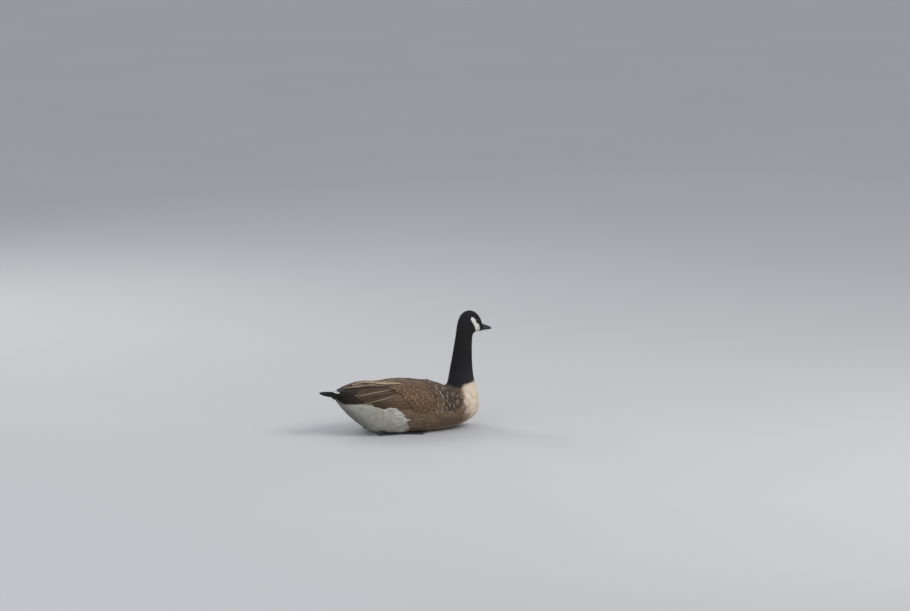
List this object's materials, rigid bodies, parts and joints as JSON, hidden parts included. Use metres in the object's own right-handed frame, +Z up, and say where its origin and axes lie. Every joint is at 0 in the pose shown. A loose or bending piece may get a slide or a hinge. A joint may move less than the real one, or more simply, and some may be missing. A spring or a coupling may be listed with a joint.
{
  "type": "canada goose",
  "caption": "Life-size Canada goose model resting on its belly, neck upright, wings folded and feet tucked under.",
  "frame": {"origin": "on the floor, under the middle of the bird's box", "axes": "+X forward towards the bill, +Y the bird's left, +Z up"},
  "size_m": [0.6608, 0.2476, 0.4088],
  "materials": {
    "body_plumage": "soft contour feathers, brown with pale edges above, buff breast, white vent",
    "black_plumage": "short velvety black feathers with a white chinstrap",
    "wing_plumage": "firm brown flight feathers and coverts with buff edges",
    "tail_plumage": "firm black tail feathers with white coverts",
    "bill_horn": "satin black horn",
    "eye_gloss": "wet dark brown",
    "leg_skin": "fine black scales and web"
  },
  "bodies": {
    "root": {"torso": "body_plumage", "neck": "black_plumage", "head": "black_plumage", "bill_upper": "bill_horn", "bill_lower": "bill_horn", "eye_left": "eye_gloss", "eye_right": "eye_gloss", "tail": "tail_plumage", "wing_left": "wing_plumage", "wing_right": "wing_plumage", "leg_left": "leg_skin", "leg_right": "leg_skin"}
  },
  "joints": []
}
